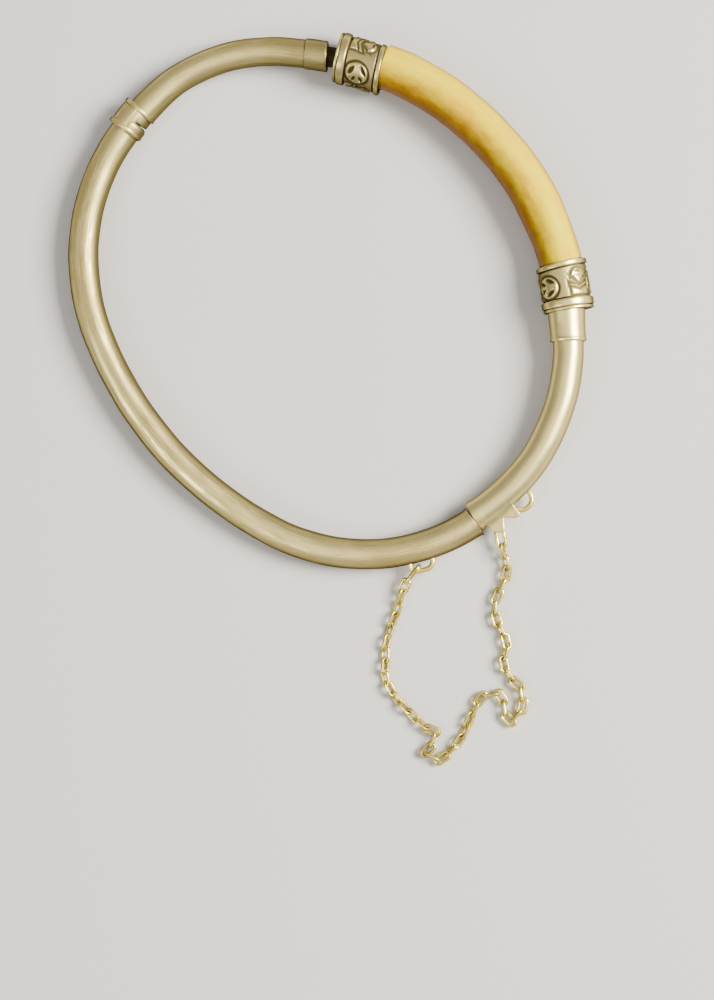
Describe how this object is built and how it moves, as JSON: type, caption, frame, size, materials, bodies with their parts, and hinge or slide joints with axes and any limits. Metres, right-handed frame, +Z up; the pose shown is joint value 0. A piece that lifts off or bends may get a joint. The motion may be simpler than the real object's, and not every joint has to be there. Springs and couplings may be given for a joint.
{
  "type": "hinged silver and ivory bangle bracelet",
  "caption": "Oval hinged bangle of hollow silver tube with a curved ivory bar held in embossed collars, a staple clasp with a fishtail thumb plate, and a fine safety chain.",
  "frame": {"origin": "middle of the wrist opening, at the height of the surface that the bangle lies on", "axes": "+Z up out of the wrist opening, +Y from the clasp side to the ivory side, which is the longest way across with the safety chain laid out, +X towards the clasp half's right end"},
  "size_m": [0.066, 0.0919, 0.0065],
  "materials": {
    "silver": "satin",
    "ivory": "satin",
    "gilt": "satin"
  },
  "bodies": {
    "root": {"side_tube": "silver", "collar_right": "silver", "ivory_arc": "ivory", "collar_left": "silver", "upper_tube": "silver", "lower_tube": "silver", "hinge_pin": "silver", "clasp_tongue": "silver", "safety_chain": "gilt"}
  },
  "joints": []
}
